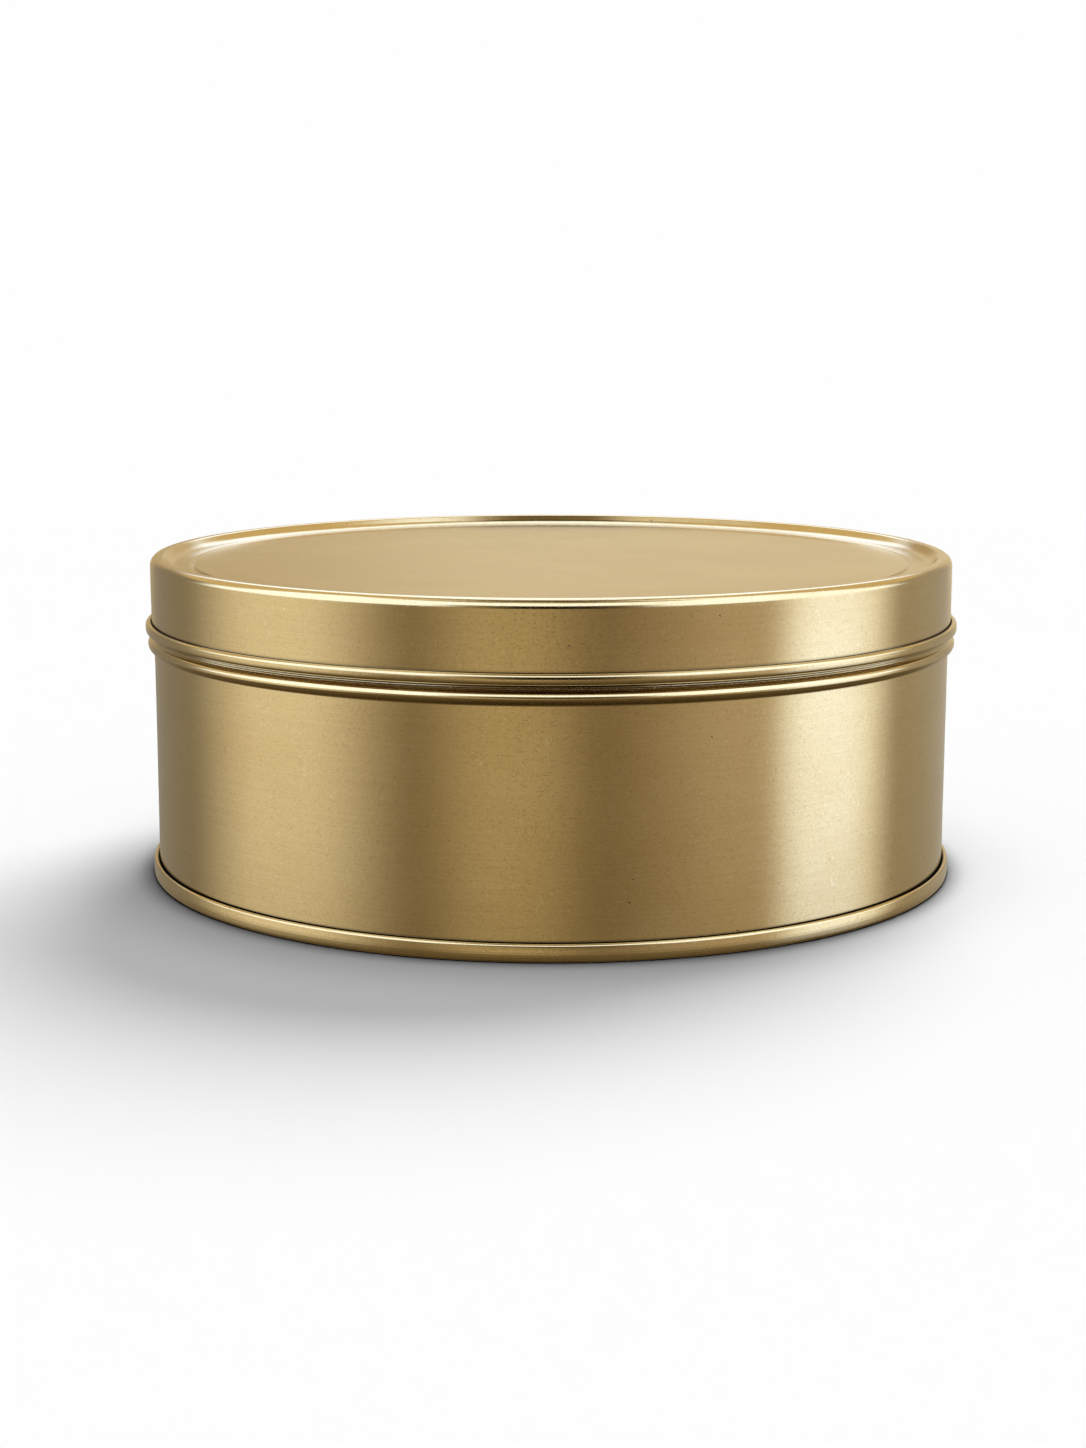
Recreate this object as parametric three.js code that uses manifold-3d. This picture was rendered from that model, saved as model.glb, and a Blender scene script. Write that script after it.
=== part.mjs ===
// A round slip-lid candle tin holding a poured three-wick candle.
// Drawn lid, seamed body, double-seamed base, sealing compound, wax, wicks, wick tabs and stickers.
// Millimetres, +Z up, origin in the middle of the foot. The body's side seam is at the back, +Y.
import * as THREE from "three";
import { mergeVertices } from "three/addons/utils/BufferGeometryUtils.js";
import Module from "manifold-3d";

const wasm = await Module();
wasm.setup();

// Overall sizes
const bodyRadius = 65; // outside of the body wall
const closedHeight = 52; // foot to rim crest, lid on
const lidDepth = 12.1; // lower edge of the lid's curl to its rim crest
const plate = 0.2; // tinplate thickness, all three pressings
const half = plate / 2; // a pressing's faces lie this far either side of its centre line

// Fits between pieces
const lidFit = 0.15; // lid skirt to body wall, on the radius
const rimFit = 0.3; // top of the body's rolled rim to the lid
const seamGap = 0.03; // between the layers rolled together in the base seam
const contactGap = 0.05; // between flat pieces stuck on each other
const waxGap = 0.4; // wax to tin, where the cooled wax has drawn away
const pocketGap = 0.3; // wax to wick, tab and sticker
const wickFit = 0.1; // wick to the neck of its tab

// Lid
const cornerBend = 1.4; // outer face of the skirt-to-crest corner
const crestWidth = 0.65; // corner's end to the top of the inner slope
const rimDepth = 1.5; // crest down to the ring inside it
const slopeRun = 1.4; // radial width of the slope inside the crest
const slopeTopBend = 0.5;
const slopeFootBend = 1;
const panelRadius = 58.4; // middle of the pressed step up to the centre panel
const panelLift = 0.25; // centre panel above the ring
const bandRadius = 54.2; // inside the step, a faint cone rises to this radius
const bandLift = 0.1;
const stepRun = 0.5;
const stepBend = 0.3;
const curlOut = 1; // outer curl beyond the skirt's face
const curlHeight = 1.66;
const curlEdgeGap = 0.2; // raw edge of the curl to the skirt

// Body wall
const beadTuck = 0.55; // the bead's upper slope starts this far up inside the lid
const beadOut = 1;
const beadCrownBend = 0.8;
const beadShoulderBend = 2.6; // upper root of the bead, an easy slope
const beadRootBend = 0.45; // its lower root
const rimRoll = 1.5; // width of the inward roll at the top edge
const lapWidth = 4; // overlap of the side seam
const lapClear = 1; // side seam's ends to the base panel and to the rolled rim

// Base and its double seam
const seamHeight = 2.75;
const footBend = 0.35;
const panelRise = 3.2; // foot to the underside of the base panel
const panelBend = 0.8;
const basePanelRadius = 50; // middle of the raised centre panel's step
const basePanelLift = 0.4;
const baseStepRun = 0.9;
const baseStepBend = 0.8;
const hookRelief = 0.05; // body hook to the plate under it
const hookClear = 0.22; // end hook's edge above the bend of the body hook
const compoundHeight = 0.44;

// Candle
const fillBelowBead = 0.4; // wax surface under the foot of the stop bead
const waxCreep = 0.6; // height and width of the wax's rise at the wall
const wickCount = 3;
const wickCircle = 30; // wick centres from the tin's axis
const wickRadius = 1.2;
const wickTrim = 6; // wick above the wax
const tabRadius = 9;
const tabPlate = 0.3;
const tabNeckWall = 0.3;
const tabNeckHeight = 6;
const stickerRadius = 9.5;
const stickerHeight = 0.8;

// Faceting
const ringSides = 48;
const smallSides = 16;
const arcSlack = 0.04; // most that a chord may miss its arc by
const samePoint = 1e-6; // points of a path nearer than this are one

// Centre lines that more than one pressing follows
const wallLine = bodyRadius - half;
const layerPitch = plate + seamGap;
const chuckLine = wallLine - layerPitch;
const endHookLine = wallLine + layerPitch;
const bodyHookLine = endHookLine + layerPitch;
const seamLine = bodyHookLine + layerPitch;
const seamTopLine = seamHeight - half;
const foldBend = layerPitch; // a fold over one layer
const baseRingLine = panelRise + half;
const basePanelTop = panelRise + basePanelLift + plate;
const crestLine = closedHeight - half;
const rimTopLine = crestLine - half - rimFit - half;
const rollBend = (rimRoll - plate) / 2;
const rimFootLine = rimTopLine - 2 * rollBend;
const hookFootLine = plate + hookRelief + half;
const bodyHookTop = seamTopLine - foldBend - compoundHeight - seamGap;
const lidFootLine = closedHeight - lidDepth + half;
const beadHeight = closedHeight - lidDepth + beadTuck - beadReach(beadShoulderBend);
const waxLevel = beadHeight - beadReach(beadRootBend) - fillBelowBead;
const tabFoot = basePanelTop + contactGap + stickerHeight + contactGap;

const lacquer = new THREE.MeshStandardMaterial({ color: 0xb5985c, roughness: 0.38, metalness: 1 });
const compound = new THREE.MeshStandardMaterial({ color: 0x9a9a94, roughness: 0.8, metalness: 0 });
const wax = new THREE.MeshStandardMaterial({ color: 0xf3ead6, roughness: 0.5, metalness: 0 });
const cotton = new THREE.MeshStandardMaterial({ color: 0xf5f1e6, roughness: 0.9, metalness: 0 });
const steel = new THREE.MeshStandardMaterial({ color: 0xb9bcbe, roughness: 0.35, metalness: 1 });
const foam = new THREE.MeshStandardMaterial({ color: 0xe9e9e6, roughness: 0.9, metalness: 0 });

// An arc as points, from an angle through a sweep, both in radians.
function arc(centre, radius, from, sweep) {
  const stepAngle = 2 * Math.acos(1 - Math.min(arcSlack / radius, 0.5));
  const steps = Math.ceil(Math.abs(sweep) / stepAngle);
  return Array.from({ length: steps + 1 }, (_, i) => {
    const angle = from + (sweep * i) / steps;
    const spoke = new THREE.Vector2(Math.cos(angle), Math.sin(angle));
    return spoke.multiplyScalar(radius).add(centre);
  });
}

// A path of corners [radius, height, bend]: each corner that has a bend is rounded to it.
function bentPath(corners) {
  const at = (i) => new THREE.Vector2(corners[i][0], corners[i][1]);
  const points = corners.flatMap(([, , bend], i) => {
    if (!bend) return [at(i)];
    const back = at(i - 1).sub(at(i)).normalize();
    const on = at(i + 1).sub(at(i)).normalize();
    const halfAngle = Math.acos(back.dot(on)) / 2;
    const towards = back.clone().add(on).normalize();
    const centre = at(i).add(towards.multiplyScalar(bend / Math.sin(halfAngle)));
    const first = at(i).add(back.clone().multiplyScalar(bend / Math.tan(halfAngle))).sub(centre);
    const side = Math.sign(on.cross(back));
    return arc(centre, bend, first.angle(), side * (Math.PI - 2 * halfAngle));
  });
  return points.filter((p, i) => !i || p.distanceTo(points[i - 1]) > samePoint);
}

// The path moved sideways, to the right of its direction.
function offset(path, distance) {
  return path.map((point, i) => {
    const before = path[Math.max(i - 1, 0)];
    const after = path[Math.min(i + 1, path.length - 1)];
    const into = (i ? point.clone().sub(before) : after.clone().sub(point)).normalize();
    const outOf = (after === point ? into.clone() : after.clone().sub(point)).normalize();
    const right = new THREE.Vector2(into.y, -into.x);
    const mitre = right.clone().add(new THREE.Vector2(outOf.y, -outOf.x)).normalize();
    return mitre.multiplyScalar(distance / mitre.dot(right)).add(point);
  });
}

// The closed outline of a sheet whose centre line is the path.
function sheet(path) {
  return [...offset(path, half), ...offset(path, -half).reverse()];
}

// An outline, counter-clockwise in (radius, height), turned about the Z axis.
function turned(outline, sides = ringSides) {
  const points = outline.map((p) => (p.isVector2 ? p : new THREE.Vector2(...p)));
  if (points[0].x > 0) points.push(points[0]);
  return new THREE.LatheGeometry(points, sides).rotateX(Math.PI / 2);
}

function toSolid(geometry) {
  const bare = geometry.clone().deleteAttribute("normal").deleteAttribute("uv");
  const merged = mergeVertices(bare);
  const vertProperties = merged.attributes.position.array;
  const triVerts = new Uint32Array(merged.index.array);
  return new wasm.Manifold(new wasm.Mesh({ numProp: 3, vertProperties, triVerts }));
}

function toGeometry(solid) {
  const { vertProperties, triVerts } = solid.getMesh();
  const geometry = new THREE.BufferGeometry();
  geometry.setAttribute("position", new THREE.BufferAttribute(vertProperties, 3));
  return geometry.setIndex(new THREE.BufferAttribute(triVerts, 1));
}

function named(name, geometry, material) {
  const mesh = new THREE.Mesh(geometry, material);
  mesh.name = name;
  return mesh;
}

// One drawn pressing: sunk panel, ring, crest, skirt and the lower edge curled outwards.
function lid() {
  const skirtLine = bodyRadius + lidFit + half;
  const ringLine = crestLine - rimDepth;
  const panelLine = ringLine + panelLift;
  const slopeTop = skirtLine + half - cornerBend - crestWidth;
  const curlLine = skirtLine + curlOut;
  const curlTopLine = lidFootLine + curlHeight - plate;
  const curlBend = curlOut / 2;
  const path = bentPath([
    [0, panelLine],
    [bandRadius, panelLine],
    [panelRadius - stepRun / 2, panelLine - bandLift, stepBend],
    [panelRadius + stepRun / 2, ringLine, stepBend],
    [slopeTop - slopeRun, ringLine, slopeFootBend],
    [slopeTop, crestLine, slopeTopBend],
    [skirtLine, crestLine, cornerBend - half],
    [skirtLine, lidFootLine, curlBend],
    [curlLine, lidFootLine, curlBend],
    [curlLine, curlTopLine, curlBend],
    [skirtLine + half + curlEdgeGap, curlTopLine],
  ]);
  return named("lid", turned(sheet(path)), lacquer);
}

// From the centre of a root arc of the bead out to the centre of its crown arc.
function beadInset(bend) {
  return beadOut - beadCrownBend - bend;
}

// Height between those two centres, such that the arcs meet smoothly.
function beadReach(bend) {
  return Math.sqrt((beadCrownBend + bend) ** 2 - beadInset(bend) ** 2);
}

// The outward bead that stops the lid: a crown arc between two root arcs that meet it smoothly.
function beadPath() {
  const meet = (bend) => Math.atan2(beadReach(bend), beadInset(bend));
  const low = meet(beadRootBend);
  const high = meet(beadShoulderBend);
  const root = new THREE.Vector2(wallLine + beadRootBend, beadHeight - beadReach(beadRootBend));
  const crown = new THREE.Vector2(wallLine + beadOut - beadCrownBend, beadHeight);
  const shoulder = new THREE.Vector2(wallLine + beadShoulderBend, beadHeight + beadReach(beadShoulderBend));
  return [
    ...arc(root, beadRootBend, Math.PI, low - Math.PI).slice(0, -1),
    ...arc(crown, beadCrownBend, low - Math.PI, 2 * Math.PI - low - high),
    ...arc(shoulder, beadShoulderBend, -high, high - Math.PI).slice(1),
  ];
}

// The wall of the tin from its hook in the base seam to its rolled rim, lapped at the back.
function bodyWall() {
  const rollLine = wallLine - 2 * rollBend;
  const hook = bentPath([
    [bodyHookLine, bodyHookTop],
    [bodyHookLine, hookFootLine, foldBend],
    [wallLine, hookFootLine, foldBend],
    [wallLine, beadHeight],
  ]);
  const roll = bentPath([
    [wallLine, beadHeight],
    [wallLine, rimTopLine, rollBend],
    [rollLine, rimTopLine, rollBend],
    [rollLine, rimFootLine, rollBend],
    [wallLine - rollBend, rimFootLine],
  ]);
  const wall = turned(sheet([...hook.slice(0, -1), ...beadPath(), ...roll.slice(1)]));
  return named("body_wall", toGeometry(toSolid(wall).add(lap())), lacquer);
}

// The side seam's inner layer: a narrow strip of the wall's own section, one plate further in.
function lap() {
  const foot = [wallLine, basePanelTop + lapClear];
  const head = [wallLine, rimFootLine - lapClear];
  const path = [new THREE.Vector2(...foot), ...beadPath(), new THREE.Vector2(...head)];
  const sink = half; // it starts inside the wall, so that the two join
  const ring = toSolid(turned(sheet(offset(path, sink - plate))));
  const strip = new THREE.BoxGeometry(lapWidth, 2 * bodyRadius, 2 * closedHeight);
  strip.translate(0, bodyRadius, 0);
  return ring.intersect(toSolid(strip));
}

// One pressing: raised centre panel, chuck wall, foot, seaming wall and hook.
function baseEnd() {
  const path = bentPath([
    [0, baseRingLine + basePanelLift],
    [basePanelRadius - baseStepRun / 2, baseRingLine + basePanelLift, baseStepBend],
    [basePanelRadius + baseStepRun / 2, baseRingLine, baseStepBend],
    [chuckLine, baseRingLine, panelBend],
    [chuckLine, half, footBend],
    [seamLine, half, footBend],
    [seamLine, seamTopLine, foldBend],
    [endHookLine, seamTopLine, foldBend],
    [endHookLine, hookFootLine + foldBend + hookClear],
  ]);
  return named("base_end", turned(sheet(path)), lacquer);
}

// The ring of lining compound shut in the seam above the body hook.
function seamCompound() {
  const inner = bodyHookLine - half + seamGap / 2;
  const outer = bodyHookLine + half - seamGap / 2;
  const foot = bodyHookTop + seamGap;
  const top = seamTopLine - foldBend;
  const outline = [[inner, foot], [outer, foot], [outer, top], [inner, top]];
  return named("seam_compound", turned(outline), compound);
}

// The poured wax, with a pocket for each wick, its tab and its sticker.
function waxFill() {
  const radius = bodyRadius - plate - waxGap;
  const foot = basePanelTop + waxGap;
  const outline = [
    [0, foot],
    [basePanelRadius - baseStepRun / 2, foot],
    [basePanelRadius + baseStepRun / 2, foot - basePanelLift],
    [radius, foot - basePanelLift],
    [radius, waxLevel + waxCreep],
    [radius - waxCreep, waxLevel],
    [0, waxLevel],
  ];
  const pocketRadius = Math.max(tabRadius, stickerRadius) + pocketGap;
  const tabTop = tabFoot + tabPlate + pocketGap;
  const neckRadius = wickRadius + wickFit + tabNeckWall + pocketGap;
  const neckTop = tabFoot + tabNeckHeight + pocketGap;
  const pocket = turned([
    [0, 0],
    [pocketRadius, 0],
    [pocketRadius, tabTop],
    [neckRadius, tabTop],
    [neckRadius, neckTop],
    [wickRadius + pocketGap, neckTop],
    [wickRadius + pocketGap, closedHeight],
    [0, closedHeight],
  ], smallSides);
  const solid = wickPlaces().reduce(
    (left, place) => left.subtract(toSolid(pocket.clone().translate(place.x, place.y, 0))),
    toSolid(turned(outline)),
  );
  return named("wax_fill", toGeometry(solid), wax);
}

// Wick centres, evenly round the axis, the first one at the front.
function wickPlaces() {
  return Array.from({ length: wickCount }, (_, i) => {
    const angle = (2 * Math.PI * i) / wickCount - Math.PI / 2;
    return new THREE.Vector3(Math.cos(angle), Math.sin(angle), 0).multiplyScalar(wickCircle);
  });
}

// One wick set in its own frame: foam sticker, steel tab with a neck, braided wick.
function wickSet(number) {
  const sticker = turned([
    [0, 0],
    [stickerRadius, 0],
    [stickerRadius, stickerHeight],
    [0, stickerHeight],
  ], smallSides).translate(0, 0, basePanelTop + contactGap);
  const bore = wickRadius + wickFit;
  const neck = bore + tabNeckWall;
  const tab = turned([
    [bore, 0],
    [tabRadius, 0],
    [tabRadius, tabPlate],
    [neck, tabPlate],
    [neck, tabNeckHeight],
    [bore, tabNeckHeight],
  ], smallSides).translate(0, 0, tabFoot);
  const wick = turned([
    [0, tabFoot],
    [wickRadius, tabFoot],
    [wickRadius, waxLevel + wickTrim],
    [0, waxLevel + wickTrim],
  ], smallSides);
  return new THREE.Group().add(
    named(`wick_sticker_${number}`, sticker, foam),
    named(`wick_tab_${number}`, tab, steel),
    named(`wick_${number}`, wick, cotton),
  );
}

const candleTin = new THREE.Group();
candleTin.add(lid(), bodyWall(), baseEnd(), seamCompound(), waxFill());
wickPlaces().forEach((place, i) => {
  const set = wickSet(i + 1);
  set.position.copy(place);
  candleTin.add(set);
});

export default candleTin;
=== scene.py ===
"""A gold slip-lid candle tin and the poured candle inside it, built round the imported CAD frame.

Profiles are in millimetres, meshes in metres. The front faces -Y and the side seam is at +Y.
Every CAD node is replaced by the same piece, turned finer and with its rolled edges truly round.
"""

import math

import bpy
import numpy as np
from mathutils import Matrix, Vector


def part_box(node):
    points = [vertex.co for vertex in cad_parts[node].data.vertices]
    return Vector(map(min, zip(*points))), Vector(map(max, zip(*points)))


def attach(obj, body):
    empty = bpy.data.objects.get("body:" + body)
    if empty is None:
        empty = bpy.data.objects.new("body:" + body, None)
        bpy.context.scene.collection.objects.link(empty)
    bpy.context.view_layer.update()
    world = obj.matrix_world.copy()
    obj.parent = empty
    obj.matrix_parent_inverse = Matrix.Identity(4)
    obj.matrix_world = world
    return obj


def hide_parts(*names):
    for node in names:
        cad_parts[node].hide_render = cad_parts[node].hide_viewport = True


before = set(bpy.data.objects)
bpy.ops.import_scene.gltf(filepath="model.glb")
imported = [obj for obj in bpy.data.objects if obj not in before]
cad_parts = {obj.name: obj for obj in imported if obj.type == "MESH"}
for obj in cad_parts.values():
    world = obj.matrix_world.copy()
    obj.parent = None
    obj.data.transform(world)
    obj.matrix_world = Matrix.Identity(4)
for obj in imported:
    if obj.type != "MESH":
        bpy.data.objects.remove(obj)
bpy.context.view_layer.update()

MM = 0.001
LOW, HIGH = 0, 1
X, Z = 0, 2
TURN = 2 * math.pi


def face(node, end, axis):
    """Where a CAD node's box ends along an axis, in millimetres."""
    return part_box(node)[end][axis] / MM


# Sizes read from the frame, in millimetres
CREST = face("lid", HIGH, Z)
LID_FOOT = face("lid", LOW, Z)
CURL_FACE = face("lid", HIGH, X)
RIM_TOP = face("body_wall", HIGH, Z)
WAX_FACE = face("wax_fill", HIGH, X)
WAX_RIM = face("wax_fill", HIGH, Z)
WAX_FOOT = face("wax_fill", LOW, Z)
COMPOUND_FOOT = face("seam_compound", LOW, Z)
COMPOUND_TOP = face("seam_compound", HIGH, Z)
COMPOUND_FACE = face("seam_compound", HIGH, X)

# Sizes that are the same in the CAD source, in millimetres
PLATE = 0.2
HALF = PLATE / 2
LID_FIT = 0.15
CORNER_BEND = 1.4
CREST_WIDTH = 0.65
RIM_DEPTH = 1.5
SLOPE_RUN = 1.4
SLOPE_TOP_BEND = 0.5
PANEL_RADIUS = 58.4
PANEL_LIFT = 0.25
BAND_RADIUS = 54.2
BAND_LIFT = 0.1
CURL_OUT = 1.0
CURL_HEIGHT = 1.66
CURL_EDGE_GAP = 0.2
BEAD_OUT = 1.0
BEAD_CROWN_BEND = 0.8
BEAD_ROOT_BEND = 0.45
RIM_ROLL = 1.5
FOOT_BEND = 0.35
PANEL_RISE = 3.2
PANEL_BEND = 0.8
BASE_PANEL_RADIUS = 50.0
BASE_PANEL_LIFT = 0.4
BASE_STEP_RUN = 0.9
BASE_STEP_BEND = 0.8
HOOK_RELIEF = 0.05
HOOK_CLEAR = 0.22
WAX_CREEP = 0.6
POCKET_GAP = 0.3
WICK_FIT = 0.1
TAB_PLATE = 0.3
TAB_NECK_WALL = 0.3
LAP_WIDTH = 4.0

# Sizes of details that are drawn finer here, or a little differently, in millimetres
SEAM_GAP = 0.09  # between the layers of the base seam
SEAM_HEIGHT = 2.68
SEAM_BULGE = 0.12  # the rolled seam's outer face is slightly barrelled
SEAM_BARREL = 6.0
CURL_BULGE = 0.07  # so is the lid's curl
CURL_BARREL = 1.2
BEAD_TUCK = 0.1  # the bead's upper slope starts this far up inside the lid
BEAD_SHOULDER_BEND = 1.6
SLOPE_FOOT_BEND = 2.2
STEP_RUN = 0.36
STEP_BEND = 0.15
STEP_GROOVE = 0.14  # depth of the fine groove that the die leaves at the foot of the step

# Centre lines of the plate
SKIRT_LINE = CURL_FACE - CURL_OUT - HALF
WALL_LINE = SKIRT_LINE - PLATE - LID_FIT
WALL_FACE = WALL_LINE + HALF
LAYER_PITCH = PLATE + SEAM_GAP
CHUCK_LINE = WALL_LINE - LAYER_PITCH
END_HOOK_LINE = WALL_LINE + LAYER_PITCH
BODY_HOOK_LINE = END_HOOK_LINE + LAYER_PITCH
SEAM_LINE = BODY_HOOK_LINE + LAYER_PITCH
SEAM_TOP_LINE = SEAM_HEIGHT - HALF
HOOK_FOOT_LINE = PLATE + HOOK_RELIEF + HALF
FOLD_BEND = LAYER_PITCH
CREST_LINE = CREST - HALF
RIM_TOP_LINE = RIM_TOP - HALF
ROLL_BEND = (RIM_ROLL - PLATE) / 2
BEAD_CROWN_LINE = WALL_LINE + BEAD_OUT - BEAD_CROWN_BEND
WAX_LEVEL = WAX_RIM - WAX_CREEP

# Fineness of the meshes
RING_SIDES = 288
SMALL_SIDES = 64
ARC_STEP = math.radians(11)
LEAST_ARC_STEPS = 3
SAME_POINT = 1e-3
EDGE_LOOP = 0.06  # a loop this far from each end keeps a long straight stretch flat
LONG_STRETCH = 4 * EDGE_LOOP
LONGEST_STEP = 3.0
SHARP_ANGLE = math.radians(38)


# ---------------------------------------------------------------- profiles
def arc(centre, radius, start, sweep):
    """Points along an arc, ends included."""
    steps = max(LEAST_ARC_STEPS, math.ceil(abs(sweep) / ARC_STEP))
    angles = (start + sweep * i / steps for i in range(steps + 1))
    return [centre + radius * Vector((math.cos(a), math.sin(a))) for a in angles]


def bent_path(corners):
    """A path of corners (radius, height, bend), each rounded to its bend."""
    places = [Vector(c[:2]) for c in corners]
    path = []
    for i, corner in enumerate(corners):
        bend = corner[2] if len(corner) > 2 else 0
        if not bend:
            path.append(places[i])
            continue
        back = (places[i - 1] - places[i]).normalized()
        on = (places[i + 1] - places[i]).normalized()
        half_angle = back.angle(on) / 2
        centre = places[i] + (back + on).normalized() * (bend / math.sin(half_angle))
        first = places[i] + back * (bend / math.tan(half_angle)) - centre
        side = math.copysign(1, on.x * back.y - on.y * back.x)
        start = math.atan2(first.y, first.x)
        path += arc(centre, bend, start, side * (math.pi - 2 * half_angle))
    return path


def filled(path):
    """The path with repeated points dropped and its long straight stretches divided."""
    points = [path[0]]
    for end in path[1:]:
        start = points[-1]
        length = (end - start).length
        if length < SAME_POINT:
            continue
        if length > LONG_STRETCH:
            inner = length - 2 * EDGE_LOOP
            steps = max(1, math.ceil(inner / LONGEST_STEP))
            ways = [(EDGE_LOOP + inner * i / steps) / length for i in range(steps + 1)]
            points += [start.lerp(end, way) for way in ways]
        points.append(end)
    return points


def offset(path, distance):
    """The path moved to the right of its direction."""
    moved = []
    for i, point in enumerate(path):
        into = (point - path[i - 1]) if i else (path[1] - point)
        out_of = (path[i + 1] - point) if i + 1 < len(path) else into
        normals = [Vector((d.y, -d.x)).normalized() for d in (into, out_of)]
        mitre = (normals[0] + normals[1]).normalized()
        moved.append(point + mitre * (distance / mitre.dot(normals[0])))
    return moved


def sheet(path):
    """The closed outline of plate whose centre line is the path, anticlockwise."""
    path = filled(path)
    return offset(path, HALF) + offset(path, -HALF)[::-1]


def lid_path():
    """The lid, from the middle of its panel over the crest and down to the raw edge of its curl."""
    ring = CREST_LINE - RIM_DEPTH
    panel = ring + PANEL_LIFT
    slope_top = SKIRT_LINE + HALF - CORNER_BEND - CREST_WIDTH
    curl_line = SKIRT_LINE + CURL_OUT
    foot = LID_FOOT + HALF
    curl_top = foot + CURL_HEIGHT - PLATE
    curl_middle = (foot + curl_top) / 2
    return bent_path([
        (0, panel),
        (BAND_RADIUS, panel),
        (PANEL_RADIUS - STEP_RUN / 2, panel - BAND_LIFT, STEP_BEND),
        (PANEL_RADIUS + STEP_RUN / 2, ring - STEP_GROOVE, STEP_BEND),
        (PANEL_RADIUS + 2 * STEP_RUN, ring, STEP_BEND),
        (slope_top - SLOPE_RUN, ring, SLOPE_FOOT_BEND),
        (slope_top, CREST_LINE, SLOPE_TOP_BEND),
        (SKIRT_LINE, CREST_LINE, CORNER_BEND - HALF),
        (SKIRT_LINE, foot, CURL_OUT / 2),
        (curl_line - CURL_BULGE, foot, CURL_OUT / 2 - CURL_BULGE),
        (curl_line, curl_middle, CURL_BARREL),
        (curl_line - CURL_BULGE, curl_top, CURL_OUT / 2 - CURL_BULGE),
        (SKIRT_LINE + HALF + CURL_EDGE_GAP, curl_top),
    ])


def bead_reach(bend):
    """From the centre of a root arc to the centre of the crown arc that it meets smoothly."""
    inset = BEAD_CROWN_LINE - WALL_LINE - bend
    return Vector((inset, math.sqrt((BEAD_CROWN_BEND + bend) ** 2 - inset**2)))


BEAD_HEIGHT = LID_FOOT + BEAD_TUCK - bead_reach(BEAD_SHOULDER_BEND).y


def bead_path():
    """The stop bead: a crown arc between two root arcs, the upper one an easy slope."""
    foot, head = bead_reach(BEAD_ROOT_BEND), bead_reach(BEAD_SHOULDER_BEND)
    low, high = math.atan2(foot.y, foot.x), math.atan2(head.y, head.x)
    root = Vector((WALL_LINE + BEAD_ROOT_BEND, BEAD_HEIGHT - foot.y))
    crown = Vector((BEAD_CROWN_LINE, BEAD_HEIGHT))
    shoulder = Vector((WALL_LINE + BEAD_SHOULDER_BEND, BEAD_HEIGHT + head.y))
    return [
        *arc(root, BEAD_ROOT_BEND, math.pi, low - math.pi),
        *arc(crown, BEAD_CROWN_BEND, low - math.pi, TURN - low - high),
        *arc(shoulder, BEAD_SHOULDER_BEND, -high, high - math.pi),
    ]


def wall_path():
    """The body wall, from its hook in the base seam up over the bead to its rolled rim."""
    roll_line = WALL_LINE - 2 * ROLL_BEND
    roll_foot = RIM_TOP_LINE - 2 * ROLL_BEND
    middle = (WALL_LINE, BEAD_HEIGHT)
    hook_top = COMPOUND_FOOT - SEAM_GAP
    hook = bent_path([
        (BODY_HOOK_LINE, hook_top),
        (BODY_HOOK_LINE, HOOK_FOOT_LINE, FOLD_BEND),
        (WALL_LINE, HOOK_FOOT_LINE, FOLD_BEND),
        middle,
    ])
    roll = bent_path([
        middle,
        (WALL_LINE, RIM_TOP_LINE, ROLL_BEND),
        (roll_line, RIM_TOP_LINE, ROLL_BEND),
        (roll_line, roll_foot, ROLL_BEND),
        (WALL_LINE - ROLL_BEND, roll_foot),
    ])
    return hook[:-1] + bead_path() + roll[1:]


def base_path():
    """The base, from the middle of its panel round the foot and up into the seam."""
    ring = PANEL_RISE + HALF
    middle = (HALF + SEAM_TOP_LINE) / 2
    return bent_path([
        (0, ring + BASE_PANEL_LIFT),
        (BASE_PANEL_RADIUS - BASE_STEP_RUN / 2, ring + BASE_PANEL_LIFT, BASE_STEP_BEND),
        (BASE_PANEL_RADIUS + BASE_STEP_RUN / 2, ring, BASE_STEP_BEND),
        (CHUCK_LINE, ring, PANEL_BEND),
        (CHUCK_LINE, HALF, FOOT_BEND),
        (SEAM_LINE, HALF, FOOT_BEND),
        (SEAM_LINE + SEAM_BULGE, middle, SEAM_BARREL),
        (SEAM_LINE, SEAM_TOP_LINE, FOLD_BEND),
        (END_HOOK_LINE, SEAM_TOP_LINE, FOLD_BEND),
        (END_HOOK_LINE, HOOK_FOOT_LINE + FOLD_BEND + HOOK_CLEAR),
    ])


# ---------------------------------------------------------------- meshes
def mesh_object(name, vertices, faces, material):
    """A smooth-shaded object from vertices in millimetres."""
    mesh = bpy.data.meshes.new(name)
    mesh.from_pydata((np.asarray(vertices) * MM).tolist(), [], faces)
    mesh.shade_smooth()
    mesh.set_sharp_from_angle(angle=SHARP_ANGLE)
    mesh.materials.append(material)
    obj = bpy.data.objects.new(name, mesh)
    bpy.context.scene.collection.objects.link(obj)
    return obj


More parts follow.
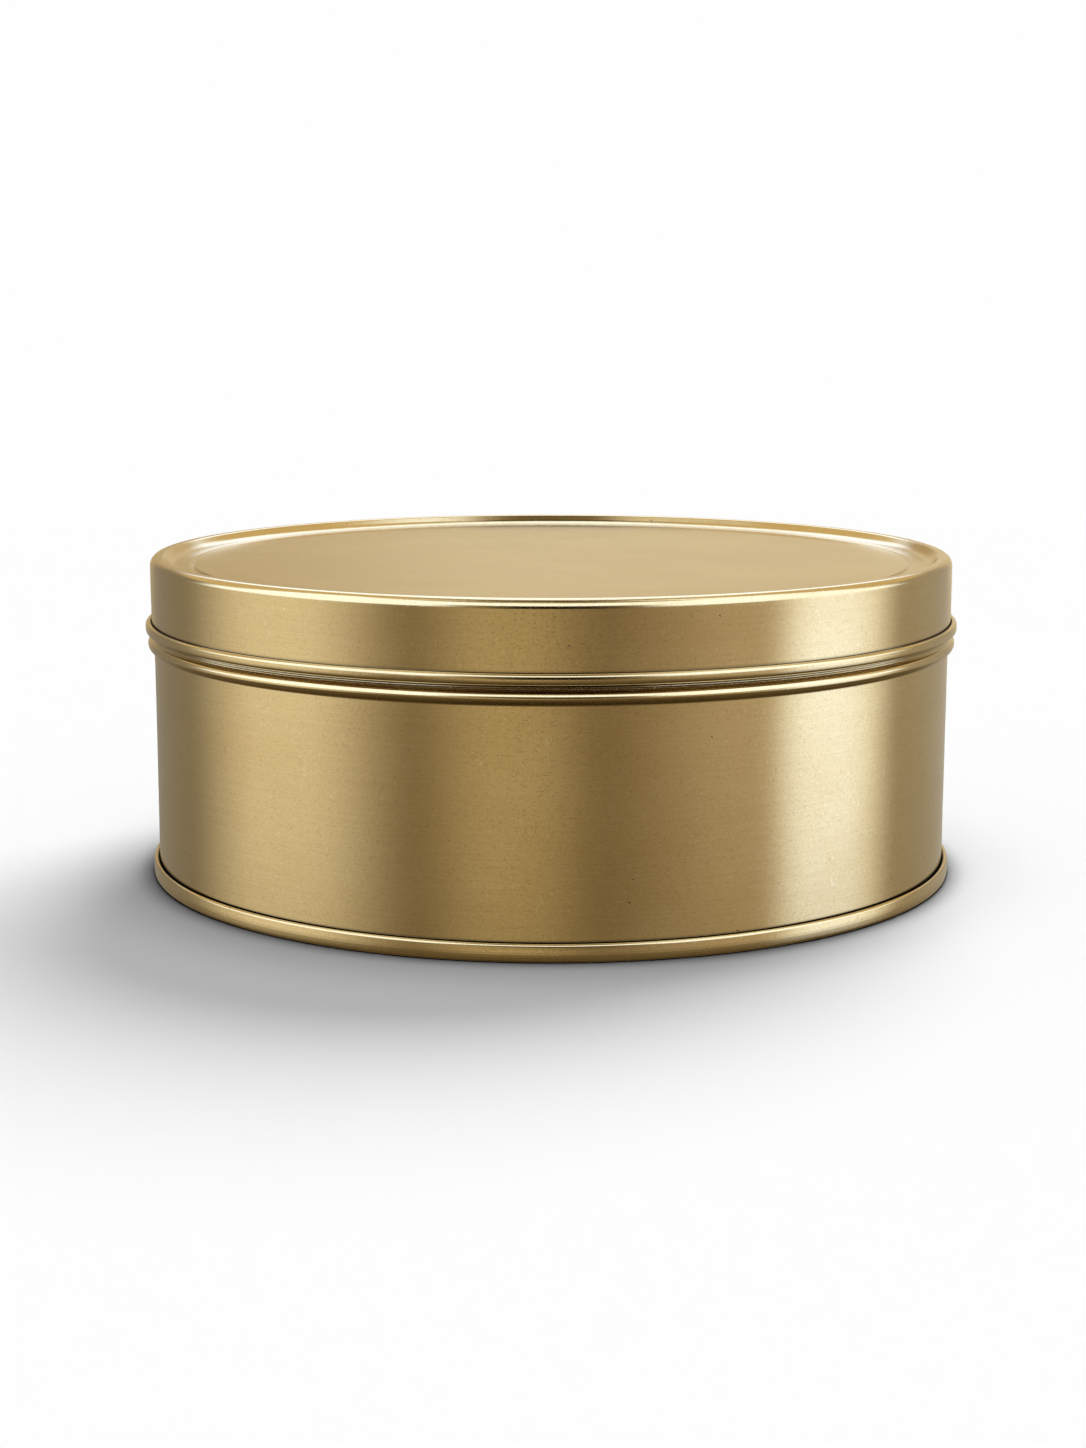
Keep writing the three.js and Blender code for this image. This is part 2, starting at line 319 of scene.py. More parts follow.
def turn(outline, sides):
    """Vertices and faces of an anticlockwise outline turned about the Z axis."""
    on_axis = outline[0].x < SAME_POINT
    rings = outline[1:-1] if on_axis else outline
    angles = np.linspace(0, TURN, sides, endpoint=False)
    vertices = [
        (p.x * math.sin(a), -p.x * math.cos(a), p.y) for p in rings for a in angles
    ]
    faces = []
    last = len(rings) - 1 if on_axis else len(rings)
    for i in range(last):
        low, high = i * sides, (i + 1) % len(rings) * sides
        for j in range(sides):
            k = (j + 1) % sides
            faces.append((low + j, low + k, high + k, high + j))
    if on_axis:
        start, end = len(vertices), len(vertices) + 1
        vertices += [(0, 0, outline[0].y), (0, 0, outline[-1].y)]
        top = (len(rings) - 1) * sides
        for j in range(sides):
            k = (j + 1) % sides
            faces += [(start, k, j), (end, top + j, top + k)]
    return np.array(vertices), faces


def turned(name, outline, material, sides=RING_SIDES, shaped=None, place=(0, 0)):
    """A turned solid, its vertices moved by shaped(vertices) if that is given."""
    points = [Vector(p) for p in outline]
    vertices, faces = turn(points, sides)
    if shaped:
        vertices = shaped(vertices)
    vertices[:, :2] += place
    return mesh_object(name, vertices, faces, material)


# Slow waves of pressed plate: (waves round the tin, phase, waves per mm of height, amplitude in mm)
WALL_WAVES = [(3, 0.4, 0.012, 0.02), (5, 2.1, 0.02, 0.014), (9, 4.0, -0.03, 0.006), (14, 1.3, 0.05, 0.003)]
WAVE_START = 0.9  # share of the wall's radius at which they begin
# Waves of the lid's panel: (waves per mm, phase, amplitude in mm), each run twice, across one another
PANEL_WAVES = [(0.011, 0.4, 0.02), (0.023, 2.2, 0.012), (0.041, 4.1, 0.006)]
PANEL_SLANTS = (0.6, 0.4)
LAP_STEP = 0.09  # outer edge of the side seam stands this far off the wall
LAP_EDGE = 0.05  # and drops over this width


def rippled(vertices):
    """Upright plate wanders in and out a little as it goes round."""
    x, y, z = vertices.T
    radius = np.hypot(x, y)
    angle = np.arctan2(x, -y)
    wave = sum(a * np.sin(n * angle + phase + TURN * k * z) for n, phase, k, a in WALL_WAVES)
    share = np.clip((radius / WALL_FACE - WAVE_START) / (1 - WAVE_START), 0, 1)
    scale = 1 + wave * share / np.maximum(radius, 1)
    return np.column_stack([x * scale, y * scale, z])


def lapped(vertices):
    """The outer layer of the side seam: a ramp out of the wall that ends in a small step."""
    vertices = rippled(vertices)
    x, y, z = vertices.T
    radius = np.hypot(x, y)
    along = np.arctan2(x, y) * WALL_FACE
    ramp = np.clip(1 - np.abs(along) / LAP_WIDTH, 0, 1) * (along > 0)
    drop = np.clip(1 + along / LAP_EDGE, 0, 1) * (along <= 0)
    between = (z > SEAM_HEIGHT) & (z < RIM_TOP - RIM_ROLL)
    scale = 1 + LAP_STEP * (ramp + drop) * between / radius
    return np.column_stack([x * scale, y * scale, z])


def dished(vertices):
    """A pressed panel is never quite flat."""
    vertices = rippled(vertices)
    x, y, z = vertices.T
    inside = np.sqrt(np.clip(1 - np.hypot(x, y) / BAND_RADIUS, 0, 1))
    one_way, other_way = x + PANEL_SLANTS[0] * y, y - PANEL_SLANTS[1] * x
    wave = sum(a * np.sin(TURN * k * one_way + p) for k, p, a in PANEL_WAVES)
    wave += sum(a * np.sin(TURN * k * other_way - p) for k, p, a in PANEL_WAVES)
    return np.column_stack([x, y, z + inside * wave])


# ---------------------------------------------------------------- the candle
WICK_ROWS = 360
WICK_COLUMNS = 48
WICK_CLEAR = 0.02  # its strands stay this far inside the CAD wick
BRAID_STRANDS = 8
BRAID_PITCH = 3.4
BRAID_DEPTH = 0.2
WICK_LEAN = 0.5
WICK_LEAN_TURN = 2.1  # radians between the ways that one wick and the next lean
WAX_CLIMB = 0.55  # height the wax creeps up each wick
WAX_CLIMB_WIDTH = 1.1
WAX_SINK = 0.35  # shallow hollow that forms round each wick as the wax cools
WAX_SINK_WIDTH = 9.0
WAX_RIPPLE = 0.04
WAX_RIPPLE_RATES = (0.21, 0.16, 0.19, 0.09)  # radians per mm
WAX_RIPPLE_SWAY = 1.7
WAX_TOP_DEPTH = 0.5  # the surface is whatever lies above this depth
WAX_STEP = 1.0
WAX_EYE = 0.4  # radius of the innermost loop of the surface
STICKER_EDGE_SHARE = 1 / 6  # bend of a sticker's edges, as a share of its height


def centre_of(node):
    """A CAD node's centre in plan, in millimetres."""
    low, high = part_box(node)
    return np.array(((low + high) / 2)[:2]) / MM


WICK_PLACES = [centre_of(f"wick_{number}") for number in (1, 2, 3)]
WICK_RADIUS = (face("wick_1", HIGH, X) - face("wick_1", LOW, X)) / 2


def wax_surface(vertices):
    """The cooled top of the wax: it climbs the wicks, sinks round them and ripples slightly."""
    x, y, z = vertices.T
    along, across, up, sway = WAX_RIPPLE_RATES
    lift = WAX_RIPPLE * np.sin(x * along + np.sin(y * across))
    lift += WAX_RIPPLE * np.sin(y * up + WAX_RIPPLE_SWAY * np.sin(x * sway))
    for place in WICK_PLACES:
        away = np.hypot(x - place[0], y - place[1])
        lift += WAX_CLIMB * np.exp(-np.maximum(away - WICK_RADIUS, 0) / WAX_CLIMB_WIDTH)
        lift -= WAX_SINK * np.exp(-((away / WAX_SINK_WIDTH) ** 2))
    top = z > WAX_LEVEL - WAX_TOP_DEPTH
    fade = np.clip((WAX_FACE - np.hypot(x, y)) / WAX_SINK_WIDTH, 0, 1)
    return np.column_stack([x, y, z + lift * top * fade])


def wax_outline():
    """The wax's section: it follows the base panel's step and creeps up the wall."""
    foot = WAX_FOOT + BASE_PANEL_LIFT
    rise = arc(Vector((WAX_FACE - WAX_CREEP, WAX_RIM)), WAX_CREEP, 0, -math.pi / 2)
    return [
        Vector((0, foot)),
        Vector((BASE_PANEL_RADIUS - BASE_STEP_RUN / 2, foot)),
        Vector((BASE_PANEL_RADIUS + BASE_STEP_RUN / 2, WAX_FOOT)),
        Vector((WAX_FACE, WAX_FOOT)),
        *rise,
        *[Vector((r, WAX_LEVEL)) for r in np.arange(WAX_FACE - 2 * WAX_CREEP, WAX_EYE, -WAX_STEP)],
        Vector((0, WAX_LEVEL)),
    ]


def pocket(number):
    """The room that a wick, its tab and its sticker take in the wax."""
    tab_top = face(f"wick_tab_{number}", LOW, Z) + TAB_PLATE + POCKET_GAP
    neck_top = face(f"wick_tab_{number}", HIGH, Z) + POCKET_GAP
    wide = (face(f"wick_sticker_{number}", HIGH, X) - face(f"wick_sticker_{number}", LOW, X)) / 2
    neck = WICK_RADIUS + WICK_FIT + TAB_NECK_WALL
    outline = [
        (0, 0),
        (wide + POCKET_GAP, 0),
        (wide + POCKET_GAP, tab_top),
        (neck + POCKET_GAP, tab_top),
        (neck + POCKET_GAP, neck_top),
        (WICK_RADIUS, neck_top),
        (WICK_RADIUS, CREST),
        (0, CREST),
    ]
    return turned("pocket", outline, None, SMALL_SIDES, place=WICK_PLACES[number - 1])


def cut(obj, tool):
    """Takes the tool's shape out of obj and deletes the tool."""
    modifier = obj.modifiers.new("pocket", "BOOLEAN")
    modifier.object = tool
    modifier.solver = "EXACT"
    with bpy.context.temp_override(object=obj):
        bpy.ops.object.modifier_apply(modifier=modifier.name)
    bpy.data.objects.remove(tool)


def wax_fill(material):
    """The poured wax, with a pocket for each wick."""
    wax = turned("wax_fill_cooled", wax_outline(), material, shaped=wax_surface)
    for number in (1, 2, 3):
        cut(wax, pocket(number))
    return wax


def wick(number, material):
    """A braided wick: two sets of strands cross on a round cord, trimmed square and leaning a little."""
    low, high = face(f"wick_{number}", LOW, Z), face(f"wick_{number}", HIGH, Z)
    z = np.linspace(low, high, WICK_ROWS)[:, None]
    angle = np.linspace(0, TURN, WICK_COLUMNS, endpoint=False)[None, :]
    twist = TURN * z / BRAID_PITCH
    one_way = np.abs(np.cos(BRAID_STRANDS / 4 * angle + twist))
    other_way = np.abs(np.cos(BRAID_STRANDS / 4 * angle - twist))
    strand = np.maximum(one_way, other_way)
    radius = (WICK_RADIUS - WICK_CLEAR) * (1 - BRAID_DEPTH * (1 - strand))
    lean_angle = WICK_LEAN_TURN * number
    out = np.clip((z - WAX_LEVEL) / (high - WAX_LEVEL), 0, 1) ** 2 * WICK_LEAN
    x = radius * np.cos(angle) + out * math.cos(lean_angle)
    y = radius * np.sin(angle) + out * math.sin(lean_angle)
    grid = np.stack([x, y, np.broadcast_to(z, x.shape)], axis=-1).reshape(-1, 3)
    ends = [[0, 0, low], [x[-1].mean(), y[-1].mean(), high]]
    vertices = np.vstack([grid, ends])
    vertices[:, :2] += WICK_PLACES[number - 1]
    faces = []
    top = (WICK_ROWS - 1) * WICK_COLUMNS
    for j in range(WICK_COLUMNS):
        k = (j + 1) % WICK_COLUMNS
        for i in range(0, top, WICK_COLUMNS):
            faces.append((i + j, i + k, i + WICK_COLUMNS + k, i + WICK_COLUMNS + j))
        faces += [(len(grid), k, j), (len(grid) + 1, top + j, top + k)]
    return mesh_object(f"wick_{number}_braided", vertices, faces, material)


def wick_tab(number, material):
    """The steel tab that grips the wick: a dished disc with a crimped neck."""
    node = f"wick_tab_{number}"
    low, high = face(node, LOW, Z), face(node, HIGH, Z)
    radius = (face(node, HIGH, X) - face(node, LOW, X)) / 2
    bore = WICK_RADIUS + WICK_FIT
    neck = bore + TAB_NECK_WALL
    edge = TAB_PLATE / 2
    outline = [
        Vector((bore, low)),
        *arc(Vector((radius - edge, low + edge)), edge, -math.pi / 2, math.pi),
        *arc(Vector((neck + edge, low + TAB_PLATE + edge)), edge, -math.pi / 2, -math.pi / 2),
        Vector((neck, high)),
        Vector((bore, high)),
    ]
    return turned(f"{node}_pressed", outline, material, SMALL_SIDES, place=WICK_PLACES[number - 1])


def wick_sticker(number, material):
    """The round foam pad that holds a tab on the base."""
    node = f"wick_sticker_{number}"
    low, high = face(node, LOW, Z), face(node, HIGH, Z)
    radius = (face(node, HIGH, X) - face(node, LOW, X)) / 2
    edge = (high - low) * STICKER_EDGE_SHARE
    outline = [
        Vector((0, low)),
        *arc(Vector((radius - edge, low + edge)), edge, -math.pi / 2, math.pi / 2),
        *arc(Vector((radius - edge, high - edge)), edge, 0, math.pi / 2),
        Vector((0, high)),
    ]
    return turned(f"{node}_foam", outline, material, SMALL_SIDES, place=WICK_PLACES[number - 1])


def seam_compound(material):
    """The ring of lining compound shut in the base seam."""
    inner = 2 * BODY_HOOK_LINE - COMPOUND_FACE
    outline = [
        (inner, COMPOUND_FOOT),
        (COMPOUND_FACE, COMPOUND_FOOT),
        (COMPOUND_FACE, COMPOUND_TOP),
        (inner, COMPOUND_TOP),
    ]
    return turned("seam_compound_ring", outline, material)


# ---------------------------------------------------------------- materials
class Nodes:
    """Short ways to add nodes to a tree and to do sums on their sockets."""

    def __init__(self, tree):
        self.tree = tree

    def node(self, kind, inputs=None, **settings):
        """A shader node with the given settings, its inputs linked or set."""
        made = self.tree.nodes.new("ShaderNode" + kind)
        for key, value in settings.items():
            setattr(made, key, value)
        for key, value in (inputs or {}).items():
            self.feed(made.inputs[key], value)
        return made

    def feed(self, socket, value):
        """Links an input to another node's output, or sets it to a plain value."""
        if isinstance(value, bpy.types.NodeSocket):
            self.tree.links.new(value, socket)
        else:
            socket.default_value = value

    def math(self, operation, *values):
        """The result of a sum on sockets and numbers."""
        made = self.node("Math", operation=operation)
        for socket, value in zip(made.inputs, values):
            self.feed(socket, value)
        return made.outputs[0]

    def ramp(self, value, low, high, to_low=0.0, to_high=1.0):
        """value from low..high to to_low..to_high, clamped and smoothed."""
        inputs = {0: value, 1: low, 2: high, 3: to_low, 4: to_high}
        made = self.node("MapRange", interpolation_type="SMOOTHSTEP")
        for key, given in inputs.items():
            self.feed(made.inputs[key], given)
        return made.outputs[0]

    def band(self, value, low, high, soft):
        """1 where value lies between low and high, falling to 0 over the soft width outside."""
        rise = self.ramp(value, low - soft, low)
        fall = self.ramp(value, high, high + soft, 1.0, 0.0)
        return self.math("MULTIPLY", rise, fall)

    def mix(self, share, first, second):
        """A colour between two colours."""
        made = self.node("Mix", data_type="RGBA")
        colours = [s for s in made.inputs if s.type == "RGBA"]
        self.feed(made.inputs[0], share)
        self.feed(colours[0], first)
        self.feed(colours[1], second)
        return next(s for s in made.outputs if s.type == "RGBA")


class Shader(Nodes):
    """A material's nodes round its principled shader."""

    def __init__(self, name):
        self.material = bpy.data.materials.new(name)
        self.material.use_nodes = True
        super().__init__(self.material.node_tree)
        self.principled = self.tree.nodes["Principled BSDF"]

    def place(self, scale):
        """Object coordinates in millimetres, times a scale along each axis."""
        coordinates = self.node("TexCoord").outputs["Object"]
        stretch = tuple(s / MM for s in scale)
        return self.node("Mapping", {"Vector": coordinates, "Scale": stretch}).outputs[0]

    def noise(self, scale, detail=2.0, roughness=0.5):
        """Noise from 0 to 1 with the given repeats per millimetre along each axis."""
        scale = scale if isinstance(scale, tuple) else (scale,) * 3
        inputs = {"Vector": self.place(scale), "Scale": 1.0, "Detail": detail, "Roughness": roughness}
        return self.node("TexNoise", inputs).outputs["Fac"]

    def bump(self, height):
        """Bends the normal by a height in millimetres."""
        normal = self.node("Bump", {"Height": height, "Distance": MM}).outputs[0]
        self.feed(self.principled.inputs["Normal"], normal)

    def set(self, **values):
        """Feeds the principled shader's inputs, named with underscores for spaces."""
        for key, value in values.items():
            self.feed(self.principled.inputs[key.replace("_", " ")], value)


NOISE_MIDDLE = 0.5
PATCH_RATE = 1.3  # the patches of hairlines repeat this much faster than the lines bend
PATCH_EDGE = 0.05
SPECK_CORE = 0.6  # share of a speck's radius that is fully dark
SPECK_CHOICE = 0.5  # cells whose random value is above this have a speck


def hairlines(shader, per_mm, width, keep):
    """Short curved hairline marks: the level lines of a noise, kept only in patches."""
    level = shader.noise(per_mm, detail=0.0)
    away = shader.math("ABSOLUTE", shader.math("SUBTRACT", level, NOISE_MIDDLE))
    line = shader.ramp(away, 0.0, width, 1.0, 0.0)
    patch = shader.ramp(shader.noise(per_mm * PATCH_RATE, detail=0.0), keep, keep + PATCH_EDGE)
    return shader.math("MULTIPLY", line, patch)


def specks(shader, per_mm, size):
    """A few tiny dark pits: the middles of some cells of a pattern."""
    cells = shader.node("TexVoronoi", {"Vector": shader.place((per_mm,) * 3), "Scale": 1.0})
    dot = shader.ramp(cells.outputs["Distance"], size * SPECK_CORE, size, 1.0, 0.0)
    pick = shader.node("SeparateColor", {"Color": cells.outputs["Color"]}).outputs[0]
    chosen = shader.math("GREATER_THAN", pick, SPECK_CHOICE)
    return shader.math("MULTIPLY", dot, chosen)


GOLD = (0.60, 0.455, 0.232, 1)
GOLD_DEEP = (0.565, 0.415, 0.198, 1)
GOLD_DARK = (0.36, 0.25, 0.11, 1)
GOLD_PALE = (0.80, 0.68, 0.46, 1)
SPECK = (0.05, 0.035, 0.02, 1)
PAINTED_CREASE_SHADE = (0.012, 0.008, 0.003, 1)  # painted shade in the gaps where two pieces meet
CREASE_REACH = 0.0009  # metres
CREASE_RANGE = (0.5, 0.86)  # openness over which the painted crease shade fades out
CREASE_SAMPLES = 16
GRAIN_SHARE = 0.12
DRAWN_SHARE = 0.15
DARK_MARK_SHARE = 0.34
LIGHT_MARK_SHARE = 0.3
GOLD_ROUGHNESS = 0.105
PEEL_ROUGHNESS = 0.08
# Heights of the lacquer's relief, in millimetres
PEEL_HEIGHT = 0.0022
GRAIN_HEIGHT = 0.0007
DRAWN_HEIGHT = 0.0005
MARK_DEPTH = 0.003
PIT_DEPTH = 0.02


def gold_lacquer():
    """Tinplate under clear gold lacquer: satin, finely mottled, faintly drawn round the walls, with shade
    painted into its creases.
    """
    shader = Shader("gold_lacquer_satin")
    cloud = shader.noise(0.05, detail=3.0)
    peel = shader.noise(1.1, detail=2.0, roughness=0.6)
    grain = shader.noise(4.0, detail=1.0)
    drawn = shader.noise((0.06, 0.06, 4.0), detail=3.0, roughness=0.7)
    dark_marks = hairlines(shader, per_mm=1.45, width=0.036, keep=0.5)
    light_marks = hairlines(shader, per_mm=1.3, width=0.032, keep=0.52)
    pits = specks(shader, per_mm=0.25, size=0.042)
    shade = shader.node("AmbientOcclusion", {"Distance": CREASE_REACH}, samples=CREASE_SAMPLES)
    crease = shader.ramp(shade.outputs["AO"], *CREASE_RANGE, 1.0, 0.0)

    tone = shader.mix(shader.ramp(cloud, 0.35, 0.65), GOLD, GOLD_DEEP)
    tone = shader.mix(shader.ramp(grain, 0.35, 0.65, 0.0, GRAIN_SHARE), tone, GOLD_PALE)
    tone = shader.mix(shader.ramp(drawn, 0.3, 0.7, DRAWN_SHARE, 0.0), tone, GOLD_DARK)
    tone = shader.mix(shader.math("MULTIPLY", dark_marks, DARK_MARK_SHARE), tone, GOLD_DARK)
    tone = shader.mix(shader.math("MULTIPLY", light_marks, LIGHT_MARK_SHARE), tone, GOLD_PALE)
    # painted shade: the colour turns near black where ambient occlusion finds another surface close by
    tone = shader.mix(crease, tone, PAINTED_CREASE_SHADE)
    tone = shader.mix(pits, tone, SPECK)

    rough = shader.math("MULTIPLY_ADD", peel, PEEL_ROUGHNESS, GOLD_ROUGHNESS)
    height = shader.math("MULTIPLY", peel, PEEL_HEIGHT)
    height = shader.math("MULTIPLY_ADD", grain, GRAIN_HEIGHT, height)
    height = shader.math("MULTIPLY_ADD", drawn, DRAWN_HEIGHT, height)
    height = shader.math("MULTIPLY_ADD", dark_marks, -MARK_DEPTH, height)
    height = shader.math("MULTIPLY_ADD", pits, -PIT_DEPTH, height)
    shader.bump(height)
    shader.set(Base_Color=tone, Metallic=1.0, Roughness=rough)
    return shader.material


WAX_DEEP = (0.90, 0.78, 0.56, 1)
WAX_CREAM = (0.94, 0.85, 0.67, 1)
WAX_FROST = (0.95, 0.90, 0.78, 1)
FROST_SHARE = 0.4
WAX_ROUGHNESS = 0.36
FROST_ROUGHNESS = 0.25
WAX_LUMPS = 0.02  # millimetres
PORE_DEPTH = 0.1  # millimetres
WAX_GLOW = (0.006, 0.004, 0.0025)  # how far red, green and blue light travel in it, in metres


def candle_wax():
    """Cream soy wax with faint frosting and a soft glow."""
    shader = Shader("candle_wax_cream")
    cloud = shader.noise(0.12, detail=4.0, roughness=0.6)
    frost = shader.ramp(shader.noise(0.5, detail=5.0, roughness=0.7), 0.5, 0.75)
    pores = specks(shader, per_mm=0.5, size=0.14)
    tone = shader.mix(cloud, WAX_DEEP, WAX_CREAM)
    tone = shader.mix(shader.math("MULTIPLY", frost, FROST_SHARE), tone, WAX_FROST)
    height = shader.math("MULTIPLY", shader.noise(0.7, detail=4.0), WAX_LUMPS)
    height = shader.math("MULTIPLY_ADD", pores, -PORE_DEPTH, height)
    shader.bump(height)
    shader.set(
        Base_Color=tone,
        Roughness=shader.math("MULTIPLY_ADD", frost, FROST_ROUGHNESS, WAX_ROUGHNESS),
        Specular_IOR_Level=0.2,
        Subsurface_Weight=0.25,
        Subsurface_Radius=WAX_GLOW,
        Subsurface_Scale=1.0,
    )
    return shader.material


def grained(name, grain, dark, light, height, roughness, **settings):
    """A finish whose colour, height in millimetres and least and greatest roughness follow one noise."""
    shader = Shader(name)
    pattern = shader.noise(**grain)
    smooth, rough = roughness
    shader.bump(shader.math("MULTIPLY", pattern, height))
    shader.set(
        Base_Color=shader.mix(pattern, dark, light),
        Roughness=shader.math("MULTIPLY_ADD", pattern, rough - smooth, smooth),
        **settings,
    )
    return shader.material


def wick_cotton():
    """Braided cotton, primed with wax."""
    return grained(
        "wick_cotton_waxed",
        grain={"scale": (9.0, 9.0, 2.0), "detail": 3.0, "roughness": 0.7},
        dark=(0.78, 0.72, 0.60, 1),
        light=(0.93, 0.90, 0.82, 1),
        height=0.03,
        roughness=(0.6, 0.8),
        Sheen_Weight=0.2,
    )


def tab_steel():
    """Bare pressed tinplate, a little dull."""
    return grained(
        "tab_tinplate_bare",
        grain={"scale": (3.0, 0.4, 3.0), "detail": 3.0, "roughness": 0.6},
        dark=(0.55, 0.56, 0.57, 1),
        light=(0.68, 0.69, 0.70, 1),
        height=0.004,
        roughness=(0.25, 0.45),
        Metallic=1.0,
    )


def sticker_foam():
    """White closed-cell foam with adhesive faces."""
    return grained(
        "sticker_foam_white",
        grain={"scale": 3.0, "detail": 3.0, "roughness": 0.6},
        dark=(0.74, 0.74, 0.71, 1),
        light=(0.88, 0.88, 0.86, 1),
        height=0.05,
        roughness=(0.75, 0.9),
    )


def lining_compound():
    """Grey rubbery seam compound."""
    return grained(
        "seam_compound_grey",
        grain={"scale": 2.0, "detail": 2.0},
        dark=(0.26, 0.27, 0.26, 1),
        light=(0.38, 0.38, 0.36, 1),
        height=0.02,
        roughness=(0.6, 0.8),
    )


# ---------------------------------------------------------------- pieces on their bodies
def put(piece, body, node):
    """The piece moves with a body and stands for a CAD node, which is hidden."""
    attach(piece, body)
    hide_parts(node)


def build_tin():
    """The metal of the tin and the compound in its seam."""
    gold = gold_lacquer()
    put(turned("lid_drawn", sheet(lid_path()), gold, shaped=dished), "lid", "lid")
    wall = turned("body_wall_lapped", sheet(wall_path()), gold, shaped=lapped)
    put(wall, "tin", "body_wall")
    base = turned("base_end_seamed", sheet(base_path()), gold, shaped=rippled)
    put(base, "tin", "base_end")
    put(seam_compound(lining_compound()), "tin", "seam_compound")


def build_candle():
    """The wax, and each wick with its tab and sticker."""
    cotton, steel, foam = wick_cotton(), tab_steel(), sticker_foam()
    put(wax_fill(candle_wax()), "tin", "wax_fill")
    for number in (1, 2, 3):
        put(wick(number, cotton), "tin", f"wick_{number}")
        put(wick_tab(number, steel), "tin", f"wick_tab_{number}")
        put(wick_sticker(number, foam), "tin", f"wick_sticker_{number}")


# ---------------------------------------------------------------- stage, light, camera
STAGE_RADIUS = 4.0
DOME_SIDES = 48
DOME_RINGS = 24
FLOOR_SIDES = 96
FLOOR_DROP = 0.00005
WHITE = (1, 1, 1)
WHITE_LEVEL = 0.991
FLOOR_ALBEDO = 0.8
CONTACT_REACH = 0.008
CONTACT_RANGE = (0.40, 0.85)  # openness over which the painted shadow under the tin fades out
CONTACT_SHADE = (0.02, 0.02, 0.02, 1)
CONTACT_SAMPLES = 8
FLOOR_FADE = (0.3, 0.7)  # metres from the tin over which the floor turns into plain backdrop

CAMERA_DISTANCE = 0.4007
CAMERA_HEIGHT = 0.0941
CAMERA_SIDE = -0.0013
CAMERA_PITCH = math.radians(10.09)
CAMERA_LENS = 60.57
CAMERA_NEAR = 0.01


def emission(name, colour, strength):
    """A material that only glows."""
    material = bpy.data.materials.new(name)
    material.use_nodes = True
    tree = material.node_tree
    tree.nodes.clear()
    glow = tree.nodes.new("ShaderNodeEmission")
    glow.inputs["Color"].default_value = (*colour, 1)
    glow.inputs["Strength"].default_value = strength
    output = tree.nodes.new("ShaderNodeOutputMaterial")
    tree.links.new(glow.outputs[0], output.inputs["Surface"])
    return material


def only_seen(obj):
    """A stage piece that the camera sees but that neither lights nor shades anything."""
    obj.visible_diffuse = False
    obj.visible_glossy = False
    obj.visible_transmission = False
    obj.visible_shadow = False


def backdrop():
    """A plain white dome that only the camera sees."""
    bpy.ops.mesh.primitive_uv_sphere_add(segments=DOME_SIDES, ring_count=DOME_RINGS, radius=STAGE_RADIUS)
    dome = bpy.context.object
    dome.name = "backdrop"
    dome.data.materials.append(emission("backdrop_white", WHITE, WHITE_LEVEL))
    only_seen(dome)


def floor():
    """A pale matt floor with a contact shadow painted under the tin, fading into the backdrop with
    distance.
    """
    bpy.ops.mesh.primitive_circle_add(vertices=FLOOR_SIDES, radius=STAGE_RADIUS, fill_type="NGON")
    ground = bpy.context.object
    ground.name = "floor"
    ground.location.z = -FLOOR_DROP
    shader = Shader("floor_white")
    place = shader.node("NewGeometry").outputs["Position"]
    away = shader.node("VectorMath", {0: place}, operation="LENGTH").outputs["Value"]
    share = shader.ramp(away, *FLOOR_FADE)
    # painted contact shadow: the floor's colour darkens where ambient occlusion finds the tin close by
    shade = shader.node("AmbientOcclusion", {"Distance": CONTACT_REACH}, samples=CONTACT_SAMPLES)
    open_sky = shader.ramp(shade.outputs["AO"], *CONTACT_RANGE)
    tone = shader.mix(open_sky, CONTACT_SHADE, (FLOOR_ALBEDO, FLOOR_ALBEDO, FLOOR_ALBEDO, 1))
    shader.set(Base_Color=tone, Roughness=1.0, Specular_IOR_Level=0.0)
    matt = shader.principled.outputs[0]
    glow = shader.node("Emission", {"Color": (*WHITE, 1), "Strength": WHITE_LEVEL}).outputs[0]
    joined = shader.node("MixShader", {0: share, 1: matt, 2: glow}).outputs[0]
    output = shader.tree.nodes["Material Output"]
    shader.feed(output.inputs["Surface"], joined)
    ground.data.materials.append(shader.material)
    ground.visible_glossy = False
    ground.visible_shadow = False


# Suns: name, azimuth, elevation, share of the floor's white level, angular size; angles in degrees
SUNS = [
    ("key", 154, 43, 0.53, 38),
    ("fill", 0, 90, 0.35, 42),
    ("ambient", 0, 90, 0.12, 150),
]


def sun(name, azimuth, elevation, share, angle):
    """Soft light for matt surfaces only, giving its share of the floor's white level."""
    data = bpy.data.lights.new(name, "SUN")
    data.angle = math.radians(angle)
    upright = math.sin(math.radians(elevation))
    data.energy = share * WHITE_LEVEL / FLOOR_ALBEDO * math.pi / upright
    light = bpy.data.objects.new(name, data)
    bpy.context.scene.collection.objects.link(light)
    aim(light, towards(azimuth, elevation))
    light.visible_glossy = False


def towards(azimuth, elevation):
    """Unit vector from the tin: azimuth 0 is the front, 90 the right-hand side as seen from the front."""
    a, e = math.radians(azimuth), math.radians(elevation)
    return Vector((math.sin(a) * math.cos(e), -math.cos(a) * math.cos(e), math.sin(e)))


def aim(obj, outward):
    """Turns a light that stands out along outward to face the tin."""
    obj.rotation_mode = "QUATERNION"
    obj.rotation_quaternion = outward.to_track_quat("Z", "Y")


# What the metal reflects. Azimuth 0 is the front and 90 the right-hand side; angles are in degrees.
ROOM = (0.33, 0.27, 0.18, 1)
WHITE_LIGHT = (1.9, 2.3, 3.1, 1)  # bright enough to turn gold white
GOLD_LIGHT = (0.95, 0.80, 0.48, 1)
DARK_CEILING = (0.15, 0.12, 0.06, 1)
DARK_GAP = (0.015, 0.011, 0.005, 1)  # between the two front lights
